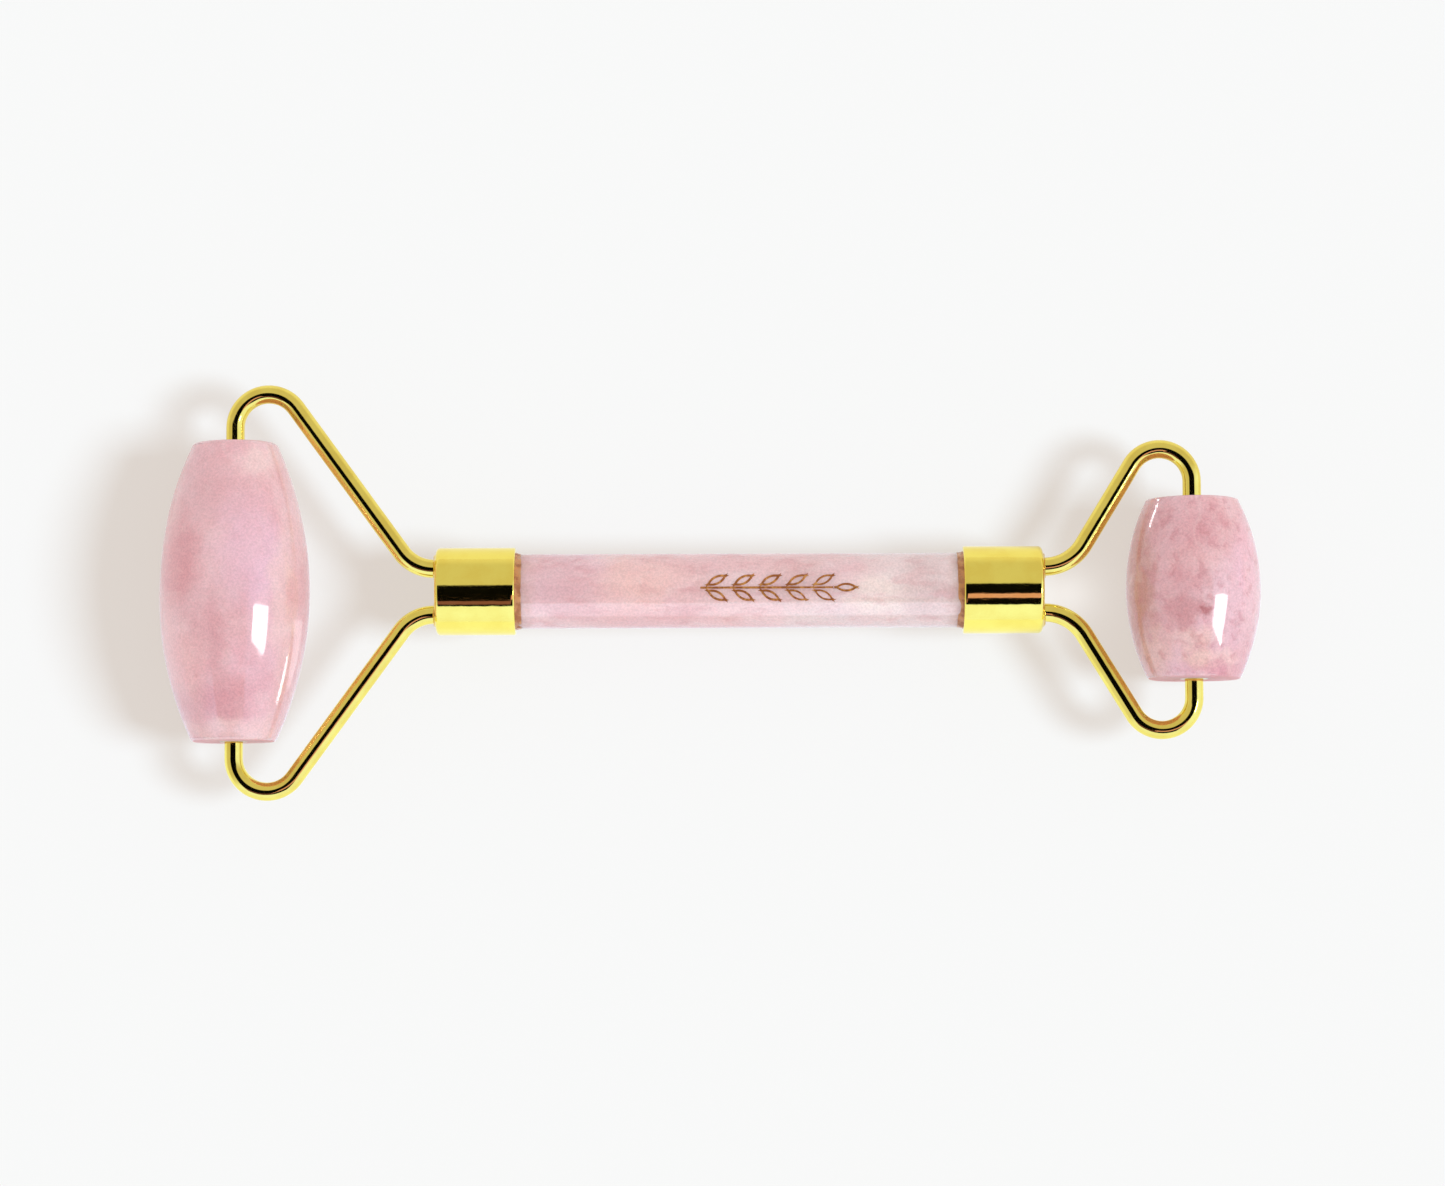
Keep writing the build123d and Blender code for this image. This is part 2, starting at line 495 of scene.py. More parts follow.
@dataclass(frozen=True)
class RoseQuartz(Finish):
    """Polished, cloudy rose quartz."""

    pale: Colour = srgb(231, 191, 195)
    deep: Colour = srgb(221, 164, 168)
    lilac: Colour = srgb(226, 184, 200)
    peach: Colour = srgb(233, 190, 180)
    veil: Colour = srgb(243, 218, 216)
    offset: Colour = (0.0, 0.0, 0.0)
    stretch: Colour = (1.0, 1.0, 1.0)
    rose: Colour = srgb(206, 142, 146)
    lilac_share: float = 0.5
    peach_share: float = 0.4
    rose_share: float = 0.3
    fade: Colour | None = None
    fade_from: float = 0.0
    fade_to: float = 0.0
    mottle_scale: float = 0.4
    veil_share: float = 0.38
    speck_share: float = 0.3
    centre: Colour = (0.0, 0.0, 0.0)
    zones: tuple[Zone, ...] = ()
    end_reach: float | None = None
    stain_middle: float = 0.0
    stain_reach: float | None = None

    def dress(self, wiring: Wiring, shader: Node) -> None:
        """Colours the stone in layers, from broad zones to fine grain.

        Args:
            wiring: The material's wiring.
            shader: Its Principled BSDF.
        """
        clouds = self.effects.clouds
        place = self.place(wiring, self.offset, stretch=self.stretch)
        patches = wiring.group(clouds, place, Scale=0.085, Warp=0.7, Low=0.36, High=0.62)
        colour = wiring.blend(patches, self.deep, self.pale)
        cool_place = self.place(wiring, (31.0, 7.0, 55.0))
        cool = wiring.group(clouds, cool_place, Scale=0.05, Warp=0.5, Low=0.45, High=0.68)
        colour = wiring.tint(colour, cool, self.lilac_share, self.lilac)
        warm_place = self.place(wiring, (80.0, 3.0, 12.0))
        warm = wiring.group(clouds, warm_place, Scale=0.07, Warp=0.8, Low=0.52, High=0.72)
        colour = wiring.tint(colour, warm, self.peach_share, self.peach)
        if self.fade is not None:
            colour = self._add_fade(wiring, colour)
        # Zones: the stone's own colour patches, plus painted light on the large roller's shaded side and
        # painted shade on the small roller's.
        for zone in self.zones:
            colour = self._add_zone(wiring, colour, zone)
        mottle = wiring.group(clouds, place, Scale=self.mottle_scale, Warp=0.6, Low=0.5, High=0.66)
        colour = wiring.tint(colour, mottle, self.rose_share, self.rose)
        colour = self._add_veils(wiring, place, colour)
        colour = self._add_grain(wiring, colour)
        if self.stain_reach is not None:
            colour = self._add_stain(wiring, colour)
        rough = wiring.ramp(wiring.noise(place, 0.5, 4.0, 0.6), 0.35, 0.7, 0.05, 0.13)
        if self.end_reach is not None:
            ground = self._ground_ends(wiring)
            colour = wiring.tint(colour, ground, 0.55, self.rose)
            rough = wiring.math("MAXIMUM", rough, wiring.math("MULTIPLY", ground, 0.85))
        wave = wiring.group(self.effects.hand_wave, place, Scale=0.22)
        wiring.bump(shader, 0.35, 0.06 * MM, wave)
        wiring.fill(shader, {"Base Color": colour, "Roughness": rough, "IOR": 1.544, "Subsurface Weight": 0.6,
                             "Subsurface Radius": (1.0, 0.65, 0.6), "Subsurface Scale": 3.5 * MM})

    def _along(self, wiring: Wiring, axis: str, offset: Colour = (0.0, 0.0, 0.0)) -> Socket:
        """One coordinate of the place, in millimetres."""
        return wiring.add("SeparateXYZ", {0: self.place(wiring, offset)}).outputs[axis]

    def _ragged(self, wiring: Wiring, along: Socket, offset: Colour, scale: float, reach: float) -> Socket:
        """Makes the edge of a tone uneven.

        Args:
            wiring: The material's wiring.
            along: The distance that the tone follows, in millimetres.
            offset: Where the noise is taken from.
            scale: How fine the noise is.
            reach: The most that it moves the edge, in millimetres.

        Returns:
            The uneven distance's socket.
        """
        noise_value = wiring.noise(self.place(wiring, offset), scale, 4.0)
        return wiring.math("ADD", along, wiring.ramp(noise_value, 0.3, 0.7, -reach, reach, smooth=False))

    def _ground_ends(self, wiring: Wiring) -> Socket:
        """A mask of the two end faces, which are ground and not polished."""
        along = self._along(wiring, "Y", tuple(-value for value in self.centre))
        return wiring.ramp(wiring.math("ABSOLUTE", along), self.end_reach - 0.16, self.end_reach - 0.05)

    def _add_zone(self, wiring: Wiring, colour: Socket, zone: Zone) -> Socket:
        """Turns a colour towards a zone's tone inside its warped ellipsoid.

        Args:
            wiring: The material's wiring.
            colour: The colour so far.
            zone: The zone.

        Returns:
            The new colour's socket.
        """
        push = wiring.noise(self.place(wiring, zone.middle), 0.35, 5.0, 0.6, output="Color")
        middle = tuple(-(start + shift) for start, shift in zip(self.centre, zone.middle))
        place = wiring.warp(self.place(wiring, middle), push, ZONE_WARP)
        scaled = wiring.vector("DIVIDE", {0: place, 1: zone.size})
        away = wiring.add("VectorMath", {0: scaled}, operation="LENGTH").outputs["Value"]
        return wiring.blend(wiring.ramp(away, 0.35, 1.35, zone.share, 0.0), colour, zone.tone)

    def _add_veils(self, wiring: Wiring, place: Socket, colour: Socket) -> Socket:
        """Lays pale sheets and fine healed cracks over a colour.

        Args:
            wiring: The material's wiring.
            place: The stone's coordinates.
            colour: The colour so far.

        Returns:
            The new colour's socket.
        """
        veils = self.effects.veils
        sheets = wiring.group(veils, place, Scale=0.11, Thickness=0.05)
        threads = wiring.group(veils, self.place(wiring, (9.0, 44.0, 21.0)), Scale=0.22, Thickness=0.012)
        for mask in (sheets, threads):
            colour = wiring.tint(colour, mask, self.veil_share, self.veil)
        return colour

    def _add_grain(self, wiring: Wiring, colour: Socket) -> Socket:
        """Adds fine mottling and a few rusty specks to a colour.

        Args:
            wiring: The material's wiring.
            colour: The colour so far.

        Returns:
            The new colour's socket.
        """
        place = self.place(wiring, (5.0, 61.0, 3.0))
        shade = wiring.ramp(wiring.noise(place, 3.4, 3.0, 0.7), 0.3, 0.7, 0.9, 1.08)
        tone = wiring.add("HueSaturation", {"Value": shade, "Color": colour})
        specks = wiring.add("TexVoronoi", {"Vector": place, "Scale": 0.16, "Randomness": 1.0})
        near = wiring.ramp(specks.outputs["Distance"], 0.02, 0.07, self.speck_share, 0.0)
        return wiring.blend(near, tone.outputs[0], srgb(196, 118, 112))

    def _add_fade(self, wiring: Wiring, colour: Socket) -> Socket:
        """Turns a colour towards the fade colour along X, and returns it."""
        pushed = self._ragged(wiring, self._along(wiring, "X"), (3.0, 9.0, 40.0), 0.16, 7.0)
        return wiring.blend(wiring.ramp(pushed, self.fade_from, self.fade_to, 0.0, 0.75), colour, self.fade)

    def _add_stain(self, wiring: Wiring, colour: Socket) -> Socket:
        """Browns a colour next to the cement at both ends of the bar.

        Args:
            wiring: The material's wiring.
            colour: The colour so far.

        Returns:
            The new colour's socket.
        """
        away = wiring.math("ABSOLUTE", wiring.math("SUBTRACT", self._along(wiring, "X"), self.stain_middle))
        pushed = self._ragged(wiring, away, (7.0, 2.0, 60.0), 0.5, 0.7)
        broad = wiring.ramp(pushed, self.stain_reach - 3.0, self.stain_reach, 0.0, 0.45)
        colour = wiring.blend(broad, colour, srgb(196, 142, 126))
        close = wiring.ramp(pushed, self.stain_reach - 0.7, self.stain_reach + 0.1, 0.0, 0.75)
        return wiring.blend(close, colour, srgb(150, 88, 48))


@dataclass(frozen=True)
class GoldPlate(Finish):
    """Bright gold plating over polished metal."""

    bright: Colour = (0.95, 0.79, 0.155)
    dull: Colour = (0.92, 0.73, 0.13)
    roughness: float = 0.06
    scratch_turn: Colour = (0.0, 0.0, 0.0)

    def dress(self, wiring: Wiring, shader: Node) -> None:
        """Gives the plating its tone, hairlines and slight orange peel.

        Args:
            wiring: The material's wiring.
            shader: Its Principled BSDF.
        """
        place = self.place(wiring, (4.0, 17.0, 9.0), self.scratch_turn)
        tone = wiring.group(self.effects.clouds, place, Scale=0.3, Warp=0.5, Low=0.35, High=0.65)
        hairs = wiring.group(self.effects.scratches, place, Density=5.0)
        rough = wiring.ramp(hairs, 0.0, 1.0, self.roughness, self.roughness + 0.1, smooth=False)
        wave = wiring.group(self.effects.hand_wave, place, Scale=0.8)
        height = wiring.math("SUBTRACT", wave, wiring.math("MULTIPLY", hairs, 0.04))
        wiring.bump(shader, 0.3, 0.03 * MM, height)
        wiring.fill(shader, {"Base Color": wiring.blend(tone, self.dull, self.bright), "Roughness": rough,
                             "Metallic": 1.0})


@dataclass(frozen=True)
class GiltFill(Finish):
    """Gold paint rubbed into an engraving: coppery and uneven, mottled between a light and a dark tone."""

    light: Colour = srgb(214, 148, 78)
    dark: Colour = srgb(156, 88, 38)

    def dress(self, wiring: Wiring, shader: Node) -> None:
        """Mottles the paint between its light and dark tones.

        Args:
            wiring: The material's wiring.
            shader: Its Principled BSDF.
        """
        place = self.place(wiring, (2.0, 5.0, 1.0))
        blots = wiring.group(self.effects.clouds, place, Scale=1.6, Warp=0.6, Low=0.42, High=0.68)
        self.mottle(wiring, shader, blots, (self.dark, self.light), (0.5, 0.28))
        wiring.bump(shader, 0.6, 0.03 * MM, wiring.noise(place, 9.0, 3.0))
        wiring.fill(shader, {"Metallic": 0.3})


@dataclass(frozen=True)
class Cement(Finish):
    """Amber two-part cement, glassy where it has run and dull where dust has stuck."""

    clear: Colour = srgb(206, 142, 88)
    dusty: Colour = srgb(166, 102, 58)

    def dress(self, wiring: Wiring, shader: Node) -> None:
        """Mixes clear and dusty cement.

        Args:
            wiring: The material's wiring.
            shader: Its Principled BSDF.
        """
        place = self.place(wiring, (1.0, 2.0, 3.0))
        dirt = wiring.group(self.effects.clouds, place, Scale=0.9, Warp=0.6, Low=0.4, High=0.62)
        self.mottle(wiring, shader, dirt, (self.clear, self.dusty), (0.2, 0.6))
        wiring.bump(shader, 0.5, 0.05 * MM, wiring.group(self.effects.hand_wave, place, Scale=2.0))
        wiring.fill(shader, {"IOR": 1.55, "Subsurface Weight": 0.2, "Subsurface Scale": 0.4 * MM})


@dataclass(frozen=True)
class Nylon(Finish):
    """Turned natural nylon, faintly worn and grained."""

    fresh: Colour = srgb(240, 236, 226)
    worn: Colour = srgb(206, 198, 182)

    def dress(self, wiring: Wiring, shader: Node) -> None:
        """Adds wear and a fine turned grain to the nylon.

        Args:
            wiring: The material's wiring.
            shader: Its Principled BSDF.
        """
        place = self.place(wiring, (6.0, 1.0, 8.0))
        wear = wiring.group(self.effects.clouds, place, Scale=0.8, Warp=0.4, Low=0.45, High=0.7)
        self.mottle(wiring, shader, wear, (self.fresh, self.worn), (0.35, 0.55))
        wiring.bump(shader, 0.3, 0.02 * MM, wiring.noise(place, 12.0))
        wiring.fill(shader, {"IOR": 1.53, "Subsurface Weight": 0.25, "Subsurface Scale": 0.6 * MM})


# ---------------------------------------------------------------- mesh work


class Work:
    """One piece in the making: a bmesh and the operators that shape it."""

    def __init__(self) -> None:
        """Starts empty."""
        self.bm = bmesh.new()

    def chain(self, corners: list[Vector]) -> list[Vert]:
        """Joins a few corners by edges.

        Args:
            corners: The corners, in order.

        Returns:
            The new vertices.
        """
        verts = [self.bm.verts.new(corner) for corner in corners]
        for first, second in zip(verts, verts[1:]):
            self.bm.edges.new((first, second))
        return verts

    def arc(self, start: Vert, centre: Vector, angle: float, steps: int) -> Vert:
        """Draws a level arc from a vertex.

        Args:
            start: Where the arc starts.
            centre: The arc's centre.
            angle: How far it turns, in radians.
            steps: How many edges it has.

        Returns:
            The arc's last vertex.
        """
        swept = bmesh.ops.spin(self.bm, geom=[start], cent=centre, axis=UP, angle=angle, steps=steps,
                               use_merge=False, use_duplicate=False)
        return [item for item in swept["geom_last"] if isinstance(item, Vert)][0]

    def lathe(self, centre: Vector, axis: Vector, steps: int) -> None:
        """Turns everything drawn so far into a closed solid of revolution.

        Args:
            centre: A point on the axis.
            axis: The axis's direction.
            steps: How many faces go round.
        """
        geometry = self.bm.verts[:] + self.bm.edges[:]
        bmesh.ops.spin(self.bm, geom=geometry, cent=centre, axis=axis, angle=math.tau, steps=steps,
                       use_merge=True, use_duplicate=False)
        self.close()

    def ring(self, centre: Vector, direction: Vector, radius: float,
             segments: int) -> list[Edge]:
        """Draws a circle square to a direction.

        Args:
            centre: The circle's centre.
            direction: Its axis.
            radius: Its radius.
            segments: How many edges it has.

        Returns:
            The circle's edges.
        """
        turn = direction.to_track_quat("Z", "Y").to_matrix().to_4x4()
        made = bmesh.ops.create_circle(self.bm, cap_ends=False, radius=radius, segments=segments,
                                       matrix=Matrix.Translation(centre) @ turn)
        return list({edge for vert in made["verts"] for edge in vert.link_edges})

    def push(self, ring: list[Edge], move: Vector, steps: int) -> list[Edge]:
        """Extrudes a ring of edges along a straight line.

        Args:
            ring: The ring.
            move: The whole way that it goes.
            steps: In how many equal lengths.

        Returns:
            The last ring's edges.
        """
        for _ in range(steps):
            made = bmesh.ops.extrude_edge_only(self.bm, edges=ring)["geom"]
            verts = [item for item in made if isinstance(item, Vert)]
            ring = [item for item in made if isinstance(item, Edge)]
            bmesh.ops.translate(self.bm, verts=verts, vec=move / steps)
        return ring

    def bend(self, ring: list[Edge], centre: Vector, axis: Vector, angle: float,
             steps: int) -> list[Edge]:
        """Sweeps a ring of edges round an arc.

        Args:
            ring: The ring.
            centre: The arc's centre.
            axis: What it turns about.
            angle: How far it turns, in radians.
            steps: In how many parts.

        Returns:
            The last ring's edges.
        """
        verts = list({vert for edge in ring for vert in edge.verts})
        swept = bmesh.ops.spin(self.bm, geom=verts + ring, cent=centre, axis=axis, angle=angle, steps=steps,
                               use_merge=False, use_duplicate=False)
        return [item for item in swept["geom_last"] if isinstance(item, Edge)]

    def cap(self, ring: list[Edge]) -> None:
        """Closes a ring with one face."""
        bmesh.ops.edgeloop_fill(self.bm, edges=ring)

    def close(self) -> None:
        """Merges what lies together and turns every face outwards."""
        bmesh.ops.remove_doubles(self.bm, verts=self.bm.verts[:], dist=0.0002 * MM)
        bmesh.ops.recalc_face_normals(self.bm, faces=self.bm.faces[:])

    def round_edges(self, edges: list[Edge], radius: float, segments: int) -> None:
        """Rounds some edges.

        Args:
            edges: The edges.
            radius: How far back the rounding starts.
            segments: How many faces it has.
        """
        bmesh.ops.bevel(self.bm, geom=edges, offset=radius, offset_type="OFFSET", segments=segments,
                        profile=0.5, affect="EDGES", material=-1, clamp_overlap=True)

    def rim(self, centre: Vector, axis: Vector, radius: float) -> list[Edge]:
        """Finds the edges of one circle about an axis.

        Args:
            centre: The circle's centre.
            axis: Its axis.
            radius: Its radius.

        Returns:
            The edges whose two ends lie on it.
        """
        near = 0.02 * MM

        def on_circle(vert: Vert) -> bool:
            """Whether a vertex lies on the circle."""
            away = vert.co - centre
            along = away.dot(axis)
            return abs(along) < near and abs((away - axis * along).length - radius) < near

        return [edge for edge in self.bm.edges if all(on_circle(vert) for vert in edge.verts)]

    def roughen(self, height: float, size: float, seed: float,
                keep: Callable[[Vert], bool] | None = None) -> None:
        """Moves the surface in and out by a smooth noise.

        Args:
            height: The most that a vertex moves, in metres.
            size: How wide the bumps are, in metres.
            seed: Where in the noise the piece lies.
            keep: A test of a vertex that leaves it where it is.
        """
        self.bm.normal_update()
        shift = Vector((seed, seed * 0.7, -seed))
        moves = [(vert, vert.normal * height * noise.noise(vert.co / size + shift)) for vert in self.bm.verts
                 if keep is None or not keep(vert)]
        for vert, move in moves:
            vert.co += move

    def piece(self, name: str, finish: Finish, body: str, replaces: tuple[str, ...],
              sharp: float = 35.0) -> None:
        """Makes the finished piece and ties it to the frame.

        Args:
            name: The piece's name.
            finish: Its finish.
            body: The body that it moves with.
            replaces: The nodes that it stands for.
            sharp: Edges turning by more than this many degrees stay crisp.
        """
        for face in self.bm.faces:
            face.smooth = True
        for edge in self.bm.edges:
            edge.smooth = not (edge.is_manifold and edge.calc_face_angle(0.0) > math.radians(sharp))
        mesh = bpy.data.meshes.new(name)
        self.bm.to_mesh(mesh)
        self.bm.free()
        piece = add_object(name, mesh)
        mesh.materials.append(finish.material())
        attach(piece, body)
        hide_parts(*replaces)
        log.info("%s: %d faces, on %s", name, len(mesh.polygons), body)


# ---------------------------------------------------------------- handle


@dataclass
class Handle:
    """The stone bar and the engraved sprig on top of it."""

    stone: Finish
    fill: Finish
    segments: int = 192
    ring_pitch: float = 1.0 * MM
    end_chamfer: float = 0.4 * MM
    unevenness: float = 0.035 * MM
    stroke: float = 0.34 * MM
    leaf_length: float = 3.0 * MM
    leaf_bulge: float = 0.62 * MM
    leaf_angle: float = math.radians(27.0)
    leaf_gap: float = 0.16 * MM
    leaf_pairs: int = 5
    fill_proud: float = 0.03 * MM
    fill_depth: float = 0.15 * MM
    arc_steps: int = 18

    def __post_init__(self) -> None:
        """Reads the bar's and the sprig's places from the frame."""
        bar = Box("handle_bar")
        self.radius = bar.radius
        self.height = bar.height
        self.start = bar.low.x
        self.length = bar.high.x - bar.low.x
        sprig = Box("handle_inlay")
        self.sprig_start = sprig.low.x
        self.sprig_length = sprig.high.x - sprig.low.x

    def build(self) -> None:
        """Makes both pieces."""
        self.build_bar()
        self.build_sprig()

    def build_bar(self) -> None:
        """Makes the bar: a ring pushed along X, closed, chamfered and made slightly uneven."""
        work = Work()
        first = Vector((self.start, 0.0, self.height))
        ring = work.ring(first, ALONG, self.radius, self.segments)
        last = work.push(ring, ALONG * self.length, round(self.length / self.ring_pitch))
        work.cap(ring)
        work.cap(last)
        work.close()
        rims = work.rim(first, ALONG, self.radius) + work.rim(first + ALONG * self.length, ALONG, self.radius)
        work.round_edges(rims, self.end_chamfer, 2)
        work.roughen(self.unevenness, 9 * MM, 3.1)
        work.piece("handle_bar_stone", self.stone, "handle", ("handle_bar",))

    def build_sprig(self) -> None:
        """Makes the filled engraving: a stem, pairs of outlined leaves and one leaf at the tip."""
        work = Work()
        stem_length = self.sprig_length - self.leaf_length - self.leaf_gap
        self._add_stem(work, stem_length)
        root = self.stroke / 2 + self.leaf_gap
        pitch = stem_length / self.leaf_pairs
        self._add_leaf(work, Vector((self.sprig_start + stem_length + self.leaf_gap, 0.0, 0.0)), 0.0)
        for pair in range(self.leaf_pairs):
            along = self.sprig_start + pair * pitch + pitch / 4
            for side in Side:
                self._add_leaf(work, Vector((along, side.way * root, 0.0)), side.way * self.leaf_angle)
        self._thicken(work)
        self._wrap(work)
        work.piece("handle_engraving_fill", self.fill, "handle", ("handle_inlay",), sharp=50.0)

    def _add_stem(self, work: Work, length: float) -> None:
        """Adds the stem's flat outline: a circle drawn out into a slot.

        Args:
            work: The sprig so far.
            length: How long the stem is.
        """
        made = bmesh.ops.create_circle(
            work.bm, cap_ends=True, radius=self.stroke / 2, segments=self.arc_steps,
            matrix=Matrix.Translation((self.sprig_start + self.stroke / 2, 0.0, 0.0)))
        far = [vert for vert in made["verts"] if vert.co.x > self.sprig_start + self.stroke / 2]
        bmesh.ops.translate(work.bm, verts=far, vec=(length - self.stroke, 0.0, 0.0))

    def _add_leaf(self, work: Work, root: Vector, angle: float) -> None:
        """Adds one outlined leaf: two arcs from root to tip, less the same shape inset by the stroke.

        Args:
            work: The sprig so far.
            root: Where the leaf starts.
            angle: How far it leans from the stem, in radians.
        """
        before = set(work.bm.verts)
        half = self.leaf_length / 2
        radius = (half ** 2 + self.leaf_bulge ** 2) / (2 * self.leaf_bulge)
        sweep = 2 * math.asin(half / radius)
        for way in (-1, 1):
            tip = work.bm.verts.new((0.0, 0.0, 0.0))
            centre = Vector((half, way * (radius - self.leaf_bulge), 0.0))
            work.arc(tip, centre, way * sweep, self.arc_steps)
        new = [vert for vert in work.bm.verts if vert not in before]
        bmesh.ops.remove_doubles(work.bm, verts=new, dist=0.001 * MM)
        new = [vert for vert in work.bm.verts if vert not in before]
        outline = list({edge for vert in new for edge in vert.link_edges})
        face = bmesh.ops.edgeloop_fill(work.bm, edges=outline)["faces"]
        bmesh.ops.inset_region(work.bm, faces=face, thickness=self.stroke, use_boundary=True,
                               use_even_offset=True)
        bmesh.ops.delete(work.bm, geom=face, context="FACES_ONLY")
        new = [vert for vert in work.bm.verts if vert not in before]
        bmesh.ops.rotate(work.bm, verts=new, cent=(0.0, 0.0, 0.0), matrix=Matrix.Rotation(angle, 3, "Z"))
        bmesh.ops.translate(work.bm, verts=new, vec=root)

    def _thicken(self, work: Work) -> None:
        """Turns the flat outlines into a sheet as deep as the engraving, with its top edges rounded.

        Args:
            work: The sprig so far.
        """
        bmesh.ops.recalc_face_normals(work.bm, faces=work.bm.faces[:])
        for face in work.bm.faces:
            if face.normal.z < 0:
                face.normal_flip()
        base = work.bm.faces[:]
        made = bmesh.ops.extrude_face_region(work.bm, geom=base, use_keep_orig=True)["geom"]
        top = [item for item in made if isinstance(item, Vert)]
        bmesh.ops.translate(work.bm, verts=top, vec=(0.0, 0.0, self.fill_depth + self.fill_proud))
        bmesh.ops.recalc_face_normals(work.bm, faces=work.bm.faces[:])
        high = set(top)
        edges = [edge for edge in work.bm.edges if all(vert in high for vert in edge.verts)
                 and edge.calc_face_angle(0.0) > 1.0]
        work.round_edges(edges, self.fill_proud * 2, 2)

    def _wrap(self, work: Work) -> None:
        """Lays the flat sheet on the bar's round top.

        Args:
            work: The sprig so far.
        """
        base = self.height - self.fill_depth
        for vert in work.bm.verts:
            vert.co.z += base + math.sqrt(self.radius ** 2 - vert.co.y ** 2)


# ---------------------------------------------------------------- cups


@dataclass
class Cup:
    """The metal cup on one end of the handle, with its cement."""

    end: End
    gold: Finish
    cement: Finish
    segments: int = 160
    end_rounding: float = 0.6 * MM
    lip_rounding: float = 0.25 * MM
    bore_rounding: float = 0.12 * MM
    end_wall: float = 0.9 * MM
    meniscus: float = 0.85 * MM
    cement_depth: float = 7.0 * MM

    def __post_init__(self) -> None:
        """Reads the cup's place from the frame."""
        ferrule = Box(f"{self.end.label}_ferrule")
        self.radius = ferrule.radius
        self.height = ferrule.height
        self.closed_x = ferrule.end_x(self.end.out)
        self.mouth_x = ferrule.end_x(-self.end.out)
        self.bore = Box(f"{self.end.label}_ferrule_epoxy").radius
        self.bar_radius = Box("handle_bar").radius

    def point(self, x: float, radius: float) -> Vector:
        """A point of the cup's profile, above its axis."""
        return Vector((x, 0.0, self.height + radius))

    def build(self) -> None:
        """Makes the cup and its cement."""
        self.build_shell()
        self.build_cement()

    def build_shell(self) -> None:
        """Turns the cup's wall and closed end, then rounds its corners."""
        work = Work()
        floor_x = self.closed_x - self.end.out * self.end_wall
        work.chain([
            self.point(self.closed_x, 0.0),
            self.point(self.closed_x, self.radius),
            self.point(self.closed_x - self.end.out * 1.5 * self.end_rounding, self.radius),
            self.point(self.mouth_x + self.end.out * 2.0 * self.lip_rounding, self.radius),
            self.point(self.mouth_x, self.radius),
            self.point(self.mouth_x, self.bore),
            self.point(floor_x, self.bore),
            self.point(floor_x, 0.0),
        ])
        work.lathe(self.point(0.0, 0.0), ALONG, self.segments)
        for x, radius, rounding, steps in ((self.closed_x, self.radius, self.end_rounding, 8),
                                           (self.mouth_x, self.radius, self.lip_rounding, 5),
                                           (self.mouth_x, self.bore, self.bore_rounding, 3)):
            work.round_edges(work.rim(self.point(x, 0.0), ALONG, radius), rounding, steps)
        label = self.end.label
        work.piece(f"{label}_cup", self.gold, "handle", (f"{label}_ferrule",))

    def build_cement(self) -> None:
        """Turns the cement: a sleeve in the cup that ends in a lumpy fillet on the bar."""
        work = Work()
        inside_x = self.mouth_x + self.end.out * self.cement_depth
        out_x = self.mouth_x - self.end.out * self.meniscus
        bar = self.bar_radius - 0.02 * MM
        work.chain([
            self.point(inside_x, bar),
            self.point(out_x, bar),
            self.point(out_x + self.end.out * 0.1 * MM, bar + 0.05 * MM),
            self.point(self.mouth_x - self.end.out * 0.5 * MM, bar + 0.07 * MM),
            self.point(self.mouth_x - self.end.out * 0.2 * MM, bar + 0.12 * MM),
            self.point(self.mouth_x, self.bore),
            self.point(inside_x, self.bore),
            self.point(inside_x, bar),
        ])
        work.lathe(self.point(0.0, 0.0), ALONG, self.segments)
        mouth = self.mouth_x

        def hidden(vert: Vert) -> bool:
            """Whether a vertex of the cement lies inside the cup or on the bar."""
            inside = (vert.co.x - mouth) * self.end.out > -0.05 * MM
            return inside or (Vector((0.0, vert.co.y, vert.co.z - self.height)).length < bar + 0.01 * MM)

        work.roughen(0.1 * MM, 1.1 * MM, 7.7 * self.end.out, keep=hidden)
        label = self.end.label
        work.piece(f"{label}_cup_cement", self.cement, "handle", (f"{label}_ferrule_epoxy",))


# ---------------------------------------------------------------- forks


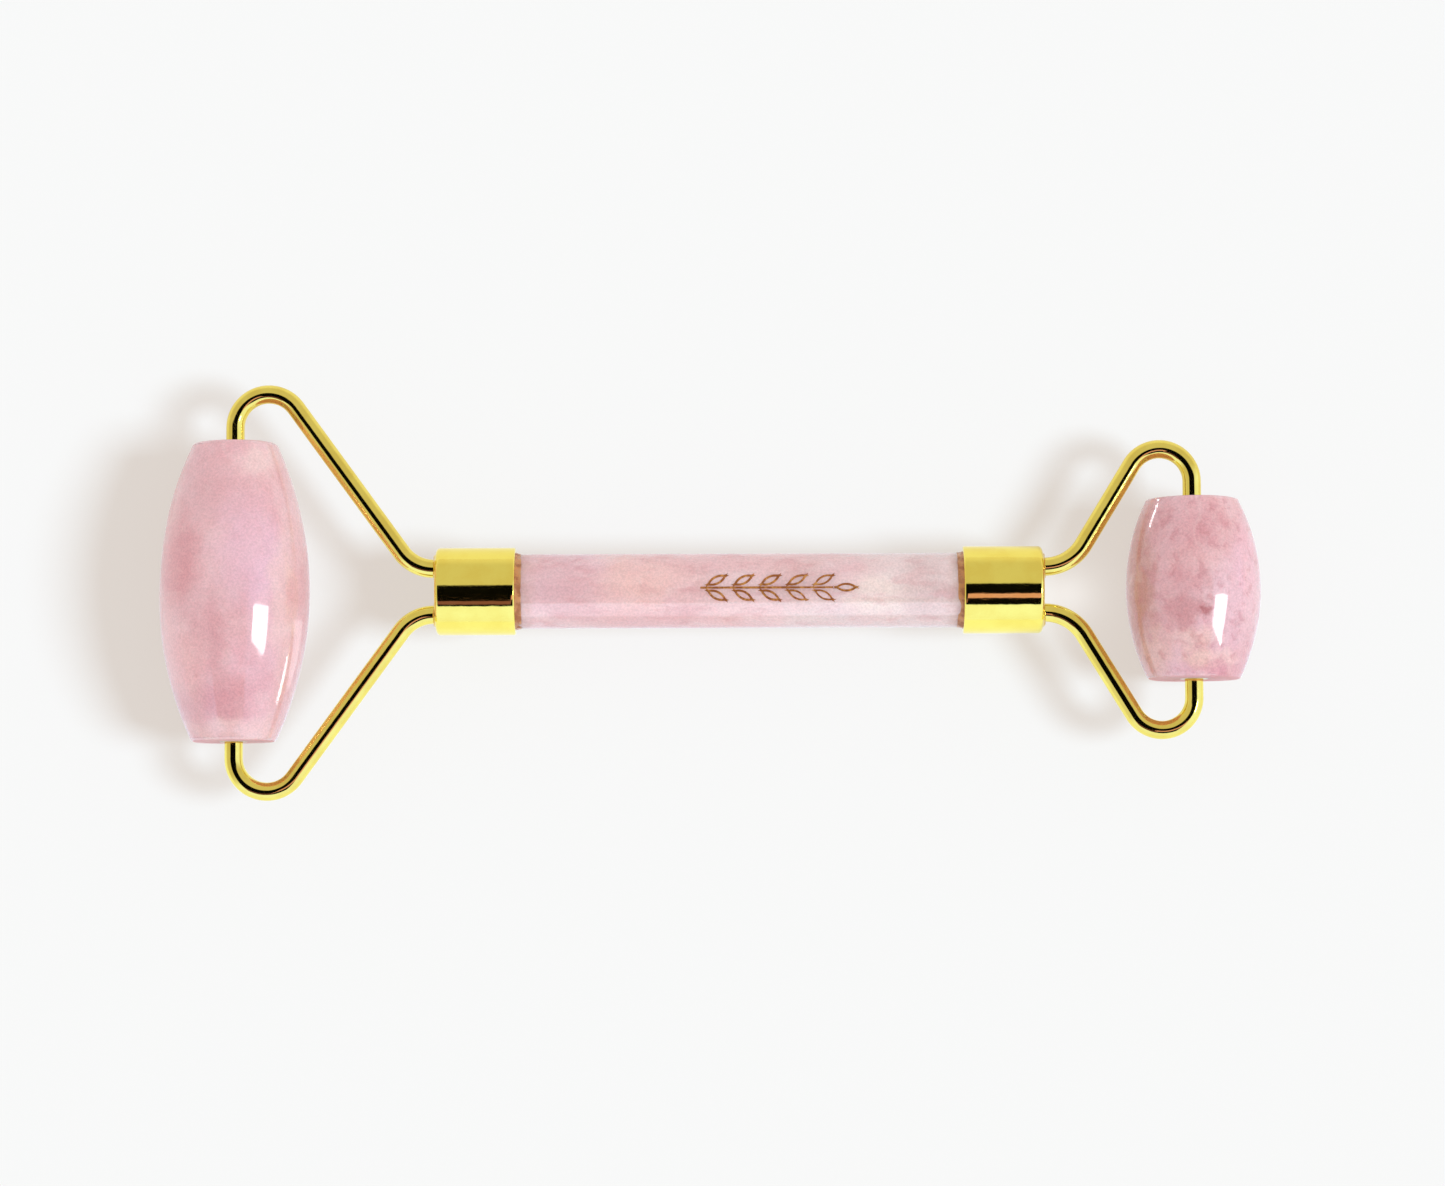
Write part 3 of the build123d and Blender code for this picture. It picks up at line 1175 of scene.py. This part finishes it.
@dataclass
class Fork:
    """The two bent wires of one end, with the braze at their roots."""

    end: End
    gold: Finish
    braze: Finish
    inner_bend: float
    outer_bend: float
    segments: int = 56
    exit_straight: float = 0.35 * MM
    tip_chamfer: float = 0.3 * MM
    bend_steps: int = 40
    bead_width: float = 0.6 * MM
    bead_height: float = 0.35 * MM
    tip_gap: float = 1.0 * MM
    stub_steps: int = 6
    slope_steps: int = 16
    leg_steps: int = 8

    def __post_init__(self) -> None:
        """Reads the wires' places from the frame."""
        label = self.end.label
        out = self.end.out
        self.face_x = Box(f"{label}_ferrule").end_x(out)
        arm = Box(f"{label}_fork_arm_rear")
        self.wire_radius = arm.radius
        self.height = arm.height
        self.stub_x = arm.end_x(-out)
        self.leg_x = arm.end_x(out) - out * self.wire_radius
        self.crown_y = arm.high.y - self.wire_radius
        braze = Box(f"{label}_braze_rear")
        self.offset = (braze.high.y + braze.low.y) / 2
        liner = Box(f"{label}_liner_rear")
        liner_length = liner.high.y - liner.low.y
        self.tip_y = Box(f"{label}_roller_stone").high.y - liner_length + self.tip_gap

    def build(self) -> None:
        """Makes both wires and their beads."""
        for side in Side:
            self.build_wire(side)
            self.build_bead(side)

    def build_wire(self, side: Side) -> None:
        """Sweeps one wire: stub, outward bend, slope, bend over the stone's end, and leg.

        Args:
            side: The side of the fork that it is on.
        """
        out = self.end.out
        bends = self.inner_bend + self.outer_bend
        forward = abs(self.leg_x - self.face_x) - self.exit_straight - self.outer_bend
        across = self.crown_y - self.offset - bends
        straight = math.sqrt(forward ** 2 + across ** 2 - bends ** 2)
        turn = math.atan2(across, forward) + math.atan2(bends, straight)
        spin = Vector((0.0, 0.0, float(out * side.way)))

        work = Work()
        along = Vector((float(out), 0.0, 0.0))
        away = Vector((0.0, float(side.way), 0.0))
        place = Vector((self.stub_x, side.way * self.offset, self.height))
        first = work.ring(place, along, self.wire_radius, self.segments)
        exit_x = self.face_x + out * self.exit_straight
        ring = work.push(first, Vector((exit_x - self.stub_x, 0.0, 0.0)), self.stub_steps)
        centre = Vector((exit_x, side.way * (self.offset + self.inner_bend), self.height))
        ring = work.bend(ring, centre, spin, turn, self.bend_steps)
        slope = (along * math.cos(turn) + away * math.sin(turn)) * straight
        ring = work.push(ring, slope, self.slope_steps)
        centre = Vector((self.leg_x - out * self.outer_bend, side.way * (self.crown_y - self.outer_bend),
                         self.height))
        ring = work.bend(ring, centre, -spin, math.pi / 2 + turn, self.bend_steps)
        leg_length = self.crown_y - self.outer_bend - self.tip_y
        ring = work.push(ring, -away * leg_length, self.leg_steps)
        work.cap(first)
        work.cap(ring)
        work.close()
        tip = Vector((self.leg_x, side.way * self.tip_y, self.height))
        work.round_edges(work.rim(tip, away, self.wire_radius), self.tip_chamfer, 3)
        name = f"{self.end.label}_fork_wire_{side.label}"
        work.piece(name, self.gold, "handle", (f"{self.end.label}_fork_arm_{side.label}",))

    def build_bead(self, side: Side) -> None:
        """Turns the bead of braze round one wire's root, and makes it lumpy.

        Args:
            side: The side of the fork that it is on.
        """
        out = self.end.out
        work = Work()
        root = Vector((self.face_x, side.way * self.offset, self.height))
        along = Vector((float(out), 0.0, 0.0))

        def point(x: float, radius: float) -> Vector:
            """A point of the bead's profile, above the wire's axis."""
            return root + along * x + Vector((0.0, 0.0, radius))

        work.chain([
            point(-0.1 * MM, self.wire_radius - 0.1 * MM),
            point(-0.1 * MM, self.wire_radius + self.bead_width),
            point(0.12 * MM, self.wire_radius + self.bead_width),
            point(0.35 * MM, self.wire_radius + self.bead_width * 0.55),
            point(self.bead_height, self.wire_radius + 0.05 * MM),
            point(self.bead_height, self.wire_radius - 0.1 * MM),
            point(-0.1 * MM, self.wire_radius - 0.1 * MM),
        ])
        work.lathe(root, along, 64)
        work.round_edges(work.rim(root + along * 0.12 * MM, along, self.wire_radius + self.bead_width),
                         0.12 * MM, 4)
        work.roughen(0.16 * MM, 1.1 * MM, 5.3 * out * side.way + 2.0 * out)
        name = f"{self.end.label}_braze_bead_{side.label}"
        work.piece(name, self.braze, "handle", (f"{self.end.label}_braze_{side.label}",), sharp=60.0)


# ---------------------------------------------------------------- rollers


@dataclass
class Roller:
    """One barrel-shaped stone with a nylon liner in each end."""

    end: End
    stone: Finish
    nylon: Finish
    end_radius: float
    rear_rounding: float
    edge_rounding: float = 0.8 * MM
    unevenness: float = 0.09 * MM
    segments: int = 192
    arc_steps: int = 96
    liner_wall: float = 0.6 * MM
    liner_end_wall: float = 0.6 * MM
    mouth_chamfer: float = 0.15 * MM

    def __post_init__(self) -> None:
        """Reads the stone's and the liners' places from the frame."""
        stone = Box(f"{self.end.label}_roller_stone")
        self.centre = (stone.low + stone.high) / 2
        self.half_length = (stone.high.y - stone.low.y) / 2
        self.radius = stone.radius
        liner = Box(f"{self.end.label}_liner_rear")
        self.liner_radius = liner.radius
        self.liner_length = liner.high.y - liner.low.y
        self.body = f"{self.end.label}_roller"

    def point(self, along: float, radius: float) -> Vector:
        """A point of a profile, in the level plane through the roller's axis."""
        return self.centre + Vector((radius, along, 0.0))

    def build(self) -> None:
        """Makes the stone and its liners."""
        self.build_stone()
        for side in Side:
            self.build_liner(side)

    def build_stone(self) -> None:
        """Turns the barrel: one arc from rim to rim, flat ends and a blind bore in each."""
        work = Work()
        rise = self.radius - self.end_radius
        arc_radius = (self.half_length ** 2 + rise ** 2) / (2 * rise)
        sweep = 2 * math.asin(self.half_length / arc_radius)
        front = -self.half_length
        floor = self.half_length - self.liner_length
        near = work.chain([
            self.point(-floor, 0.0),
            self.point(-floor, self.liner_radius),
            self.point(front, self.liner_radius),
            self.point(front, self.end_radius),
        ])
        centre = self.point(0.0, self.radius - arc_radius)
        rear = work.arc(near[-1], centre, sweep, self.arc_steps)
        far = work.chain([
            self.point(self.half_length, self.liner_radius),
            self.point(floor, self.liner_radius),
            self.point(floor, 0.0),
        ])
        work.bm.edges.new((rear, far[0]))
        work.lathe(self.centre, ACROSS, self.segments)
        for way, rounding in ((-1, self.edge_rounding), (1, self.rear_rounding)):
            rim = work.rim(self.point(way * self.half_length, 0.0), ACROSS, self.end_radius)
            work.round_edges(rim, rounding, 10)

        def in_bore(vert: Vert) -> bool:
            """Whether a vertex is on a bore's wall, which stays true."""
            away = vert.co - self.centre
            return math.hypot(away.x, away.z) < self.liner_radius + 0.05 * MM

        work.roughen(self.unevenness, 8 * MM, 11.0 + self.end.out, keep=in_bore)
        work.piece(f"{self.end.label}_barrel_stone", self.stone, self.body,
                   (f"{self.end.label}_roller_stone",))

    def build_liner(self, side: Side) -> None:
        """Turns one closed liner, flush with the stone's end.

        Args:
            side: The end of the stone that it is in.
        """
        work = Work()
        mouth = side.way * self.half_length
        back = side.way * (self.half_length - self.liner_length)
        floor = back + side.way * self.liner_end_wall
        bore = self.liner_radius - self.liner_wall
        work.chain([
            self.point(back, 0.0),
            self.point(back, self.liner_radius),
            self.point(mouth, self.liner_radius),
            self.point(mouth, bore),
            self.point(floor, bore),
            self.point(floor, 0.0),
        ])
        work.lathe(self.centre, ACROSS, 96)
        work.round_edges(work.rim(self.point(mouth, 0.0), ACROSS, bore), self.mouth_chamfer, 3)
        work.piece(f"{self.end.label}_nylon_liner_{side.label}", self.nylon, self.body,
                   (f"{self.end.label}_liner_{side.label}",))


# ---------------------------------------------------------------- studio


@dataclass(frozen=True)
class Window:
    """An upright window that some pieces mirror, in millimetres; its name's first word says which pieces.

    Its middle is seen from the spot, which is measured from those pieces' middle, along the way given. The
    reach is how far off it stands, on the level.
    """

    name: str
    spot: Colour
    way: Colour
    size: tuple[float, float]
    power: float
    reach: float = 60.0


WINDOWS = (
    Window("large_window", (3.8, -5.0, 9.2), (1.0, -0.19, 0.97), (25.0, 46.0), 14.0),
    Window("large_streak", (7.0, -12.0, 4.7), (0.96, -0.27, -0.33), (10.0, 4.5), 12.0, 30.0),
    Window("large_soft_streak", (8.3, -8.5, 3.9), (1.0, -0.14, -0.7), (12.0, 10.0), 1.3, 12.0),
    Window("small_window", (3.0, -4.2, 8.2), (1.0, -0.3, 1.2), (42.0, 54.0), 14.0),
    Window("small_streak", (-5.6, 9.6, 4.5), (-0.83, 0.56, -0.29), (9.0, 2.6), 12.0, 30.0),
    Window("bar_window", (4.0, -3.0, 4.0), (0.0, -1.0, 0.6), (900.0, 350.0), 1.7, 300.0),
    Window("gilt_window", (0.0, 0.0, 0.0), (0.95, -0.15, 1.0), (160.0, 160.0), 20.0, 650.0),
)


@dataclass
class Studio:
    """The pale table, the lights and the camera. None of it is part of the object."""

    axis_height: float
    lift: float
    spread: float
    eye: Vector = field(default_factory=lambda: Vector((1.8, -49.8, 588.8)) * MM)
    aim: Vector = field(default_factory=lambda: Vector((1.7, -0.3, 0.0)) * MM)
    roll: float = math.radians(-0.2)
    lens: float = 109.5
    sensor: float = 36.0
    background: float = 0.947
    table_key: Colour = (1.94, 2.5, 2.92)
    object_key: Colour = (0.24, 0.27, 0.29)
    fill_colour: Colour = (0.86, 0.87, 0.87)
    table_glow: Colour = (0.607, 0.55, 0.502)
    table_shine: Colour = (0.73, 0.79, 0.92)
    spill: float = 8.0
    spill_colour: Colour = (0.9, 1.0, 1.1)
    spill_size: tuple[float, float] = (6 * MM, 2.5 * MM)
    spill_out: float = 3.5 * MM
    spill_height: float = 5.5 * MM
    table_albedo: float = 0.15
    key_elevation: float = math.radians(46.0)
    key_azimuth: float = math.radians(-9.0)
    key_softness: float = math.radians(19.0)

    def build(self) -> None:
        """Sets the whole studio up."""
        bpy.context.scene.view_settings.view_transform = "Standard"
        self.build_camera()
        self.build_table()
        self.build_keys()
        self.build_surround()
        self.build_windows()
        self.build_spill()

    def build_camera(self) -> None:
        """Places the camera above the object, looking down."""
        data = bpy.data.cameras.new("camera")
        data.lens = self.lens
        data.sensor_width = self.sensor
        data.clip_start = 1 * MM
        camera = add_object("camera", data)
        height = Vector((0.0, 0.0, self.axis_height))
        back = (self.eye - self.aim).normalized()
        right = ACROSS.cross(back).normalized()
        turn = Matrix((right, back.cross(right), back)).transposed().to_4x4()
        camera.matrix_world = (Matrix.Translation(self.eye + height) @ turn
                               @ Matrix.Rotation(self.roll, 4, "Z"))
        bpy.context.scene.camera = camera

    def build_table(self) -> None:
        """Makes the pale table, tilted so that both rollers rest on it."""
        bm = bmesh.new()
        bmesh.ops.create_grid(bm, x_segments=1, y_segments=1, size=3.0)
        tilt = Matrix.Rotation(-math.atan2(self.lift, self.spread), 4, "Y")
        large_x = -self.spread / 2
        bmesh.ops.transform(bm, matrix=Matrix.Translation((large_x, 0.0, 0.0)) @ tilt, verts=bm.verts)
        mesh = bpy.data.meshes.new("table")
        bm.to_mesh(mesh)
        bm.free()
        table = add_object("table", mesh)
        material = bpy.data.materials.new("lit_table")
        material.use_nodes = True
        wiring = Wiring(material.node_tree)
        place = wiring.add("SeparateXYZ", {0: wiring.add("TexCoord").outputs["Object"]})
        mirrored = wiring.blend(wiring.ramp(place.outputs["Y"], -25 * MM, 25 * MM), self.table_shine,
                                self.table_glow)
        path = wiring.add("LightPath")
        glow = wiring.blend(path.outputs["Is Glossy Ray"], self.table_glow, mirrored)
        shader = wiring.add("BsdfPrincipled", {"Base Color": (self.table_albedo,) * 3, "Roughness": 0.9,
                                               "Emission Color": glow, "Emission Strength": 1.0,
                                               "Specular IOR Level": 0.0})
        wiring.add("OutputMaterial", {"Surface": shader.outputs[0]})
        mesh.materials.append(material)

    def build_keys(self) -> None:
        """Adds the key light twice, once for the table and once for the object."""
        pieces = [item for item in bpy.data.objects if item.type == "MESH" and item.name != "table"]
        self._key("table_key", self.table_key, [bpy.data.objects["table"]])
        self._key("object_key", self.object_key, pieces)

    def _key(self, name: str, colour: Colour, lit: list[bpy.types.Object]) -> None:
        """Adds a broad sun that only lights, while the windows are what shines.

        Args:
            name: The light's name.
            colour: Its colour and strength.
            lit: What it lights.
        """
        data = bpy.data.lights.new(name, "SUN")
        data.energy = math.pi
        data.angle = self.key_softness
        data.color = colour
        key = add_object(name, data)
        level = math.cos(self.key_elevation)
        towards = Vector((level * math.cos(self.key_azimuth), level * math.sin(self.key_azimuth),
                          math.sin(self.key_elevation)))
        key.matrix_world = towards.to_track_quat("Z", "Y").to_matrix().to_4x4()
        key.visible_glossy = False
        self._light_only(key, lit)

    @staticmethod
    def _light_only(light: bpy.types.Object, lit: list[bpy.types.Object]) -> None:
        """Keeps a light to some objects.

        Args:
            light: The light.
            lit: What it lights.
        """
        receivers = bpy.data.collections.new(f"{light.name}_receivers")
        for item in lit:
            receivers.objects.link(item)
        light.light_linking.receiver_collection = receivers

    def build_surround(self) -> None:
        """Makes the surround: a dark patch overhead, bright front and right, dimmer back and left."""
        world = bpy.data.worlds.new("studio")
        bpy.context.scene.world = world
        world.use_nodes = True
        wiring = Wiring(world.node_tree)
        way = wiring.add("SeparateXYZ", {0: wiring.add("TexCoord").outputs["Generated"]})
        up = wiring.math("MAXIMUM", way.outputs["Z"], 0.02)
        slope_x = wiring.math("DIVIDE", way.outputs["X"], up)
        slope_y = wiring.math("DIVIDE", way.outputs["Y"], up)
        across = wiring.ramp(wiring.math("ABSOLUTE", wiring.math("ADD", slope_y, 0.375)), 0.55, 0.62)
        beside = wiring.ramp(wiring.math("ABSOLUTE", wiring.math("ADD", slope_x, 0.08)), 0.58, 0.68)
        outside = wiring.math("MAXIMUM", across, beside)
        facing = wiring.math("SUBTRACT", wiring.math("MULTIPLY", way.outputs["X"], 0.45),
                             wiring.math("MULTIPLY", way.outputs["Y"], 0.9))
        sides = wiring.blend(wiring.ramp(facing, -0.1, 0.3), (0.7, 0.68, 0.66), (1.04, 1.22, 1.85))
        low = wiring.ramp(way.outputs["Z"], 0.02, 0.4, 1.0, 0.0)
        horizon = wiring.blend(wiring.ramp(facing, -0.1, 0.3), (0.85, 0.82, 0.8), (1.02, 1.16, 1.65))
        sides = wiring.blend(low, sides, horizon)
        stepped = wiring.math("ADD", slope_y, wiring.ramp(slope_x, -0.04, 0.04, 0.69, 0.37))
        slit = wiring.ramp(wiring.math("ABSOLUTE", stepped), 0.09, 0.14, 1.0, 0.0)
        glow = wiring.blend(wiring.ramp(slope_x, -0.04, 0.04), (0.24, 0.1, 0.2), (0.8, 0.42, 0.8))
        overhead = wiring.blend(slit, (0.002, 0.002, 0.002), glow)
        shine = wiring.blend(outside, overhead, sides)
        path = wiring.add("LightPath")
        seen = wiring.blend(path.outputs["Is Glossy Ray"], self.fill_colour, shine)
        plain = (self.background,) * 3
        seen = wiring.blend(path.outputs["Is Camera Ray"], seen, plain)
        back = wiring.add("Background", {"Color": seen})
        wiring.add("OutputWorld", {"Surface": back.outputs[0]})

    def build_windows(self) -> None:
        """Adds the bright windows that shine on the two stones and on the gold."""
        middles = {"large": -self.spread / 2, "small": self.spread / 2, "bar": 0.0, "gilt": 0.0}
        words = {"large": ("large_barrel_stone",), "small": ("small_barrel_stone",),
                 "bar": ("handle_bar_stone",), "gilt": ("_cup", "wire", "bead")}
        for window in WINDOWS:
            kind = window.name.split("_")[0]
            lit = [item for item in bpy.data.objects if any(word in item.name for word in words[kind])]
            spot = Vector((middles[kind], 0.0, self.axis_height)) + Vector(window.spot) * MM
            way = Vector(window.way)
            level = Vector((way.x, way.y, 0.0))
            size = (window.size[0] * MM, window.size[1] * MM)
            light = self._area(window.name, size, window.power, lit)
            turn = level.to_track_quat("Z", "Y").to_matrix().to_4x4()
            light.matrix_world = Matrix.Translation(spot + way * (window.reach * MM / level.length)) @ turn
            light.visible_diffuse = False
            light.visible_transmission = False

    def build_spill(self) -> None:
        """Adds the light that the small cup's bright end throws down onto the table."""
        spill = self._area("cup_spill", self.spill_size, self.spill, [bpy.data.objects["table"]])
        spill.data.color = self.spill_colour
        spill.location = Vector((Box("small_ferrule").high.x + self.spill_out, 0.0, self.spill_height))
        spill.visible_glossy = False

    def _area(self, name: str, size: tuple[float, float], power: float,
              lit: list[bpy.types.Object]) -> bpy.types.Object:
        """Adds a shadowless rectangular light that lights only some objects.

        Args:
            name: The light's name.
            size: Its two sides.
            power: Its brightness.
            lit: The objects that it lights.

        Returns:
            The light.
        """
        data = bpy.data.lights.new(name, "AREA")
        data.shape = "RECTANGLE"
        data.size, data.size_y = size
        data.energy = power * math.pi * size[0] * size[1]
        data.use_shadow = False
        light = add_object(name, data)
        light.visible_camera = False
        self._light_only(light, lit)
        return light


# ---------------------------------------------------------------- the whole


def middle_of(node: str) -> Colour:
    """The middle of a node's box, in millimetres."""
    low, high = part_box(node)
    return tuple((low + high) / 2 / MM)


def build_object(effects: SharedEffects) -> None:
    """Builds every piece of the face roller.

    Args:
        effects: The shared node groups.
    """
    gold = GoldPlate("cup_gold", "gold_plate", effects)
    wire_gold = GoldPlate("wire_gold", "gold_plate", effects, bright=(0.91, 0.74, 0.15),
                          dull=(0.84, 0.65, 0.12), roughness=0.05, scratch_turn=(0.0, 0.0, 60.0))
    braze = GoldPlate("braze_gold", "braze", effects, bright=(0.92, 0.7, 0.2), dull=(0.75, 0.48, 0.13),
                      roughness=0.12)
    cement = Cement("amber_cement", "cement", effects)
    nylon = Nylon("liner_nylon", "nylon", effects)
    fill = GiltFill("engraving_gilt", "gilt_inlay", effects)
    bar_zones = (
        Zone((-24.0, 0.5, 4.0), (5.0, 6.0, 6.0), srgb(220, 178, 184), 0.6),
        Zone((-13.0, 0.5, 4.0), (5.5, 3.5, 6.0), srgb(240, 200, 192), 0.6),
        Zone((8.0, 1.0, 4.0), (5.0, 3.0, 6.0), srgb(218, 176, 174), 0.6),
        Zone((18.8, -1.0, 4.0), (5.0, 3.0, 6.0), srgb(243, 226, 218), 0.7),
        Zone((24.5, 0.5, 4.0), (3.0, 6.0, 6.0), srgb(216, 190, 188), 0.6),
    )
    bar = RoseQuartz("rose_quartz_bar", "rose_quartz_pale", effects, offset=(12.0, 40.0, 5.0),
                     stretch=(0.5, 1.2, 1.2), pale=srgb(236, 202, 202), deep=srgb(228, 183, 184),
                     fade=srgb(230, 212, 210), fade_from=6.0, fade_to=24.0, speck_share=0.0, veil_share=0.3,
                     centre=middle_of("handle_bar"), zones=bar_zones, stain_middle=3.95, stain_reach=30.0)
    rosy = srgb(214, 148, 154)
    large_zones = (
        # Painted light: this pale strip down the left side lifts the side turned away from the key light,
        # standing in for fill light.
        Zone((-8.8, -1.0, 4.0), (3.0, 16.0, 6.0), srgb(243, 200, 198), 0.6),
        # Painted light: this pale patch on the lower left also lifts the side shaded from the key light.
        Zone((-6.0, -9.5, 6.0), (4.0, 5.0, 6.0), srgb(244, 196, 197), 0.55),
        Zone((-1.0, 12.0, 7.0), (6.0, 4.5, 6.0), srgb(223, 176, 181), 0.5),
        Zone((-6.4, 3.2, 7.0), (3.8, 6.5, 6.0), srgb(220, 152, 158), 0.6),
        Zone((-2.3, -6.2, 9.0), (2.6, 6.0, 6.0), rosy, 0.45),
        Zone((-0.8, -15.0, 7.0), (4.0, 2.8, 6.0), rosy, 0.4),
        Zone((3.2, 5.0, 9.0), (5.0, 7.5, 8.0), srgb(230, 186, 204), 0.5),
        Zone((7.0, -1.0, 6.0), (1.5, 9.0, 7.0), srgb(236, 200, 190), 0.5),
        Zone((3.6, 17.0, 6.0), (3.0, 2.6, 6.0), srgb(240, 210, 206), 0.7),
        Zone((-0.5, -18.8, 5.0), (8.0, 1.8, 8.0), srgb(240, 208, 204), 0.6),
    )
    large_stone = RoseQuartz("rose_quartz_large", "rose_quartz", effects,
                             centre=middle_of("large_roller_stone"), zones=large_zones,
                             pale=srgb(233, 192, 195), deep=srgb(226, 173, 176), lilac_share=0.2,
                             peach_share=0.3, rose_share=0.1, veil_share=0.15, speck_share=0.15,
                             end_reach=20.1)
    small_zones = (
        # Painted shade: this brown strip down the left side darkens the side turned away from the key light.
        Zone((-7.5, 0.0, 4.5), (2.0, 12.0, 6.0), srgb(202, 148, 136), 0.7),
        Zone((-2.5, -3.5, 8.0), (3.0, 3.0, 5.0), srgb(208, 146, 148), 0.6),
        Zone((0.8, -3.2, 8.5), (1.1, 0.9, 3.0), srgb(190, 118, 122), 0.8),
        Zone((1.5, -9.8, 7.0), (4.5, 1.6, 5.0), srgb(242, 208, 198), 0.7),
        Zone((-0.5, -7.2, 7.5), (3.5, 1.6, 5.0), srgb(242, 208, 200), 0.6),
        Zone((2.5, -11.0, 6.0), (3.0, 1.0, 5.0), rosy, 0.6),
        Zone((6.5, 3.0, 6.0), (2.0, 7.0, 6.0), srgb(238, 188, 200), 0.5),
        Zone((-5.6, -8.5, 5.0), (2.4, 3.0, 5.0), srgb(236, 196, 186), 0.5),
        Zone((-1.0, 3.5, 8.0), (5.5, 1.8, 5.0), srgb(236, 196, 196), 0.35),
    )
    small_stone = RoseQuartz("rose_quartz_small", "rose_quartz", effects, offset=(71.0, 33.0, 18.0),
                             centre=middle_of("small_roller_stone"), zones=small_zones, mottle_scale=0.62,
                             deep=srgb(220, 163, 167), lilac_share=0.25, rose_share=0.5, veil_share=0.2,
                             end_reach=12.1)
    Handle(bar, fill).build()
    for end, inner, outer in ((End.LARGE, 5.4, 4.5), (End.SMALL, 6.2, 4.35)):
        Cup(end, gold, cement).build()
        Fork(end, wire_gold, braze, inner_bend=inner * MM, outer_bend=outer * MM).build()
    Roller(End.LARGE, large_stone, nylon, end_radius=5.6 * MM, rear_rounding=1.4 * MM).build()
    Roller(End.SMALL, small_stone, nylon, end_radius=6.15 * MM, rear_rounding=1.9 * MM).build()


def write_sizes() -> None:
    """Writes nothing: it only defines a helper that turns a box into lists of numbers."""
    def plain(box: tuple[Vector, Vector]) -> list[list[float]]:
        """A box as lists of numbers."""
        return [list(map(float, corner)) for corner in box]


def main() -> None:
    """Builds the object and its studio."""
    logging.basicConfig(level=logging.INFO, format="%(name)s: %(message)s")
    build_object(SharedEffects())
    large = Box("large_roller_stone")
    small = Box("small_roller_stone")
    spread = (small.low.x + small.high.x - large.low.x - large.high.x) / 2
    Studio(large.height, lift=small.low.z - large.low.z, spread=spread).build()
    write_sizes()


if __name__ == "__main__":
    main()
